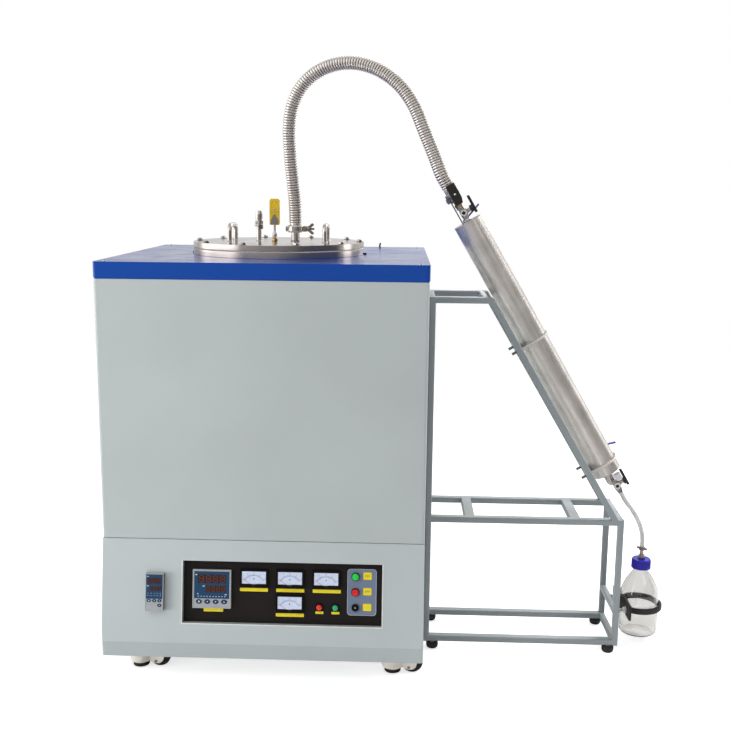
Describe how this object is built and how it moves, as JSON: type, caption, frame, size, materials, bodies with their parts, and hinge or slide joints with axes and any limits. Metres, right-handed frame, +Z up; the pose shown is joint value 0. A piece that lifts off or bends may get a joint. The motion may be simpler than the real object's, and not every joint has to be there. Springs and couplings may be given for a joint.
{
  "type": "pyrolysis furnace",
  "caption": "Pit furnace on casters with a bolted retort lid, piped by a ribbed hose to an inclined condenser and collecting bottle on a tube stand.",
  "frame": {"origin": "middle of the footprint at floor level, measured over the cabinet and the condenser stand", "axes": "+Z up, +Y to the back, the control panel faces -Y, and the condenser stand is on the +X side"},
  "size_m": [1.461, 0.7956, 1.5532],
  "materials": {
    "shell_paint": "satin powder coat",
    "cover_paint": "satin powder coat",
    "frame_paint": "satin powder coat",
    "panel_paint": "matt",
    "steel": "brushed",
    "bright_steel": "polished",
    "brass": "satin",
    "controller_plastic": "fine grain",
    "black_plastic": "fine grain",
    "blue_plastic": "gloss",
    "yellow_plastic": "gloss",
    "red_plastic": "gloss",
    "green_plastic": "gloss",
    "ivory_paint": "gloss",
    "rubber": "moulded",
    "clear_glass": "clear",
    "clear_tube": "translucent",
    "fibre": "ceramic fibre board",
    "seal": "fibre gasket",
    "heater_wire": "oxidised"
  },
  "bodies": {
    "furnace": {"base_pan": "shell_paint", "lower_cabinet": "shell_paint", "upper_cabinet": "shell_paint", "top_cover": "cover_paint", "cable_gland": "black_plastic", "insulation_jacket": "fibre", "heater_coil": "heater_wire", "retort": "steel", "lid_gasket": "seal", "bellows_hose": "bright_steel", "condenser_jacket": "steel", "condenser_core": "steel", "upper_coupling": "bright_steel", "vapour_valve": "bright_steel", "drain_valve": "bright_steel", "upper_u_bolt": "bright_steel", "lower_u_bolt": "bright_steel", "stand_front_frame": "frame_paint", "stand_back_frame": "frame_paint", "bottle": "clear_glass", "bottle_cap": "blue_plastic", "bottle_holder": "black_plastic", "drain_hose": "clear_tube", "control_panel": "panel_paint", "main_controller": "controller_plastic", "limit_controller": "controller_plastic", "panel_meter_1": "black_plastic", "panel_meter_2": "black_plastic", "panel_meter_3": "black_plastic", "panel_meter_4": "black_plastic", "heating_lamp": "red_plastic", "power_lamp": "green_plastic"},
    "lid_assembly": {"lid": "bright_steel", "lid_handle_left": "bright_steel", "lid_handle_right": "bright_steel", "gas_inlet_valve": "bright_steel", "thermocouple_probe": "bright_steel", "thermocouple_plug": "yellow_plastic", "stub_clamp": "bright_steel"},
    "wing_nut": {"clamp_wing_nut": "bright_steel"},
    "locking_bar": {"coupling_locking_bar": "black_plastic"},
    "vapour_lever": {"vapour_valve_lever": "black_plastic"},
    "drain_lever": {"drain_valve_lever": "black_plastic"},
    "outlet_lever": {"water_outlet_lever": "blue_plastic"},
    "inlet_lever": {"water_inlet_lever": "blue_plastic"},
    "start_cap": {"start_button": "green_plastic"},
    "stop_cap": {"stop_button": "red_plastic"},
    "key_rotor": {"key_switch": "bright_steel"},
    "front_left_swivel": {"front_left_caster_body": "ivory_paint"},
    "front_left_wheel": {"front_left_caster_wheel": "rubber"},
    "front_left_pad": {"front_left_levelling_pad": "rubber"},
    "front_right_swivel": {"front_right_caster_body": "ivory_paint"},
    "front_right_wheel": {"front_right_caster_wheel": "rubber"},
    "front_right_pad": {"front_right_levelling_pad": "rubber"},
    "rear_left_swivel": {"rear_left_caster_body": "ivory_paint"},
    "rear_left_wheel": {"rear_left_caster_wheel": "rubber"},
    "rear_left_pad": {"rear_left_levelling_pad": "rubber"},
    "rear_right_swivel": {"rear_right_caster_body": "ivory_paint"},
    "rear_right_wheel": {"rear_right_caster_wheel": "rubber"},
    "rear_right_pad": {"rear_right_levelling_pad": "rubber"}
  },
  "joints": [
    {"name": "lid_lift", "type": "slide", "parent": "furnace", "child": "lid_assembly", "axis": [0, 0, 1], "range_m": [0, 0.06], "deforming": ["bellows_hose"]},
    {"name": "wing_nut_turn", "type": "hinge", "parent": "lid_assembly", "child": "wing_nut", "pos_m": [-0.25, 0.01775, 1.11], "axis": [1, 0, 0], "continuous": true},
    {"name": "locking_bar_turn", "type": "hinge", "parent": "furnace", "child": "locking_bar", "pos_m": [0.1352, -0.11545, 1.20616], "axis": [0, -1, 0], "range_deg": [0, 90]},
    {"name": "vapour_lever_turn", "type": "hinge", "parent": "furnace", "child": "vapour_lever", "pos_m": [0.16084, -0.08175, 1.15893], "axis": [0.8605, 0, 0.5095], "range_deg": [0, 90]},
    {"name": "drain_lever_turn", "type": "hinge", "parent": "furnace", "child": "drain_lever", "pos_m": [0.58559, -0.10375, 0.44549], "axis": [0.8605, 0, 0.5095], "range_deg": [0, 90]},
    {"name": "outlet_lever_turn", "type": "hinge", "parent": "furnace", "child": "outlet_lever", "pos_m": [0.18106, -0.02775, 1.12871], "axis": [-0.7731, 0, 0.6343], "range_deg": [0, 90]},
    {"name": "inlet_lever_turn", "type": "hinge", "parent": "furnace", "child": "inlet_lever", "pos_m": [0.54483, -0.02775, 0.51433], "axis": [-0.2356, 0, 0.9718], "range_deg": [0, 90]},
    {"name": "start_press", "type": "slide", "parent": "furnace", "child": "start_cap", "axis": [0, 0.9845, -0.1751], "range_m": [0, 0.003], "stiffness_N_per_m": 400, "springref_m": -0.004},
    {"name": "stop_press", "type": "slide", "parent": "furnace", "child": "stop_cap", "axis": [0, 0.9845, -0.1751], "range_m": [0, 0.003], "stiffness_N_per_m": 400, "springref_m": -0.004},
    {"name": "key_turn", "type": "hinge", "parent": "furnace", "child": "key_rotor", "pos_m": [-0.099, -0.38062, 0.1975], "axis": [0, -0.9845, 0.1751], "range_deg": [-90, 0]},
    {"name": "front_left_swivel_turn", "type": "hinge", "parent": "furnace", "child": "front_left_swivel", "pos_m": [-0.6545, -0.30725, 0.04], "axis": [0, 0, 1], "continuous": true},
    {"name": "front_left_wheel_spin", "type": "hinge", "parent": "front_left_swivel", "child": "front_left_wheel", "pos_m": [-0.6045, -0.30725, 0.027], "axis": [0, 1, 0], "continuous": true},
    {"name": "front_left_pad_screw", "type": "slide", "parent": "front_left_swivel", "child": "front_left_pad", "axis": [0, 0, -1], "range_m": [0, 0.01]},
    {"name": "front_right_swivel_turn", "type": "hinge", "parent": "furnace", "child": "front_right_swivel", "pos_m": [-0.0045, -0.30725, 0.04], "axis": [0, 0, 1], "continuous": true},
    {"name": "front_right_wheel_spin", "type": "hinge", "parent": "front_right_swivel", "child": "front_right_wheel", "pos_m": [0.0455, -0.30725, 0.027], "axis": [0, 1, 0], "continuous": true},
    {"name": "front_right_pad_screw", "type": "slide", "parent": "front_right_swivel", "child": "front_right_pad", "axis": [0, 0, -1], "range_m": [0, 0.01]},
    {"name": "rear_left_swivel_turn", "type": "hinge", "parent": "furnace", "child": "rear_left_swivel", "pos_m": [-0.6545, 0.31275, 0.04], "axis": [0, 0, 1], "continuous": true},
    {"name": "rear_left_wheel_spin", "type": "hinge", "parent": "rear_left_swivel", "child": "rear_left_wheel", "pos_m": [-0.6045, 0.31275, 0.027], "axis": [0, 1, 0], "continuous": true},
    {"name": "rear_left_pad_screw", "type": "slide", "parent": "rear_left_swivel", "child": "rear_left_pad", "axis": [0, 0, -1], "range_m": [0, 0.01]},
    {"name": "rear_right_swivel_turn", "type": "hinge", "parent": "furnace", "child": "rear_right_swivel", "pos_m": [-0.0045, 0.31275, 0.04], "axis": [0, 0, 1], "continuous": true},
    {"name": "rear_right_wheel_spin", "type": "hinge", "parent": "rear_right_swivel", "child": "rear_right_wheel", "pos_m": [0.0455, 0.31275, 0.027], "axis": [0, 1, 0], "continuous": true},
    {"name": "rear_right_pad_screw", "type": "slide", "parent": "rear_right_swivel", "child": "rear_right_pad", "axis": [0, 0, -1], "range_m": [0, 0.01]}
  ]
}
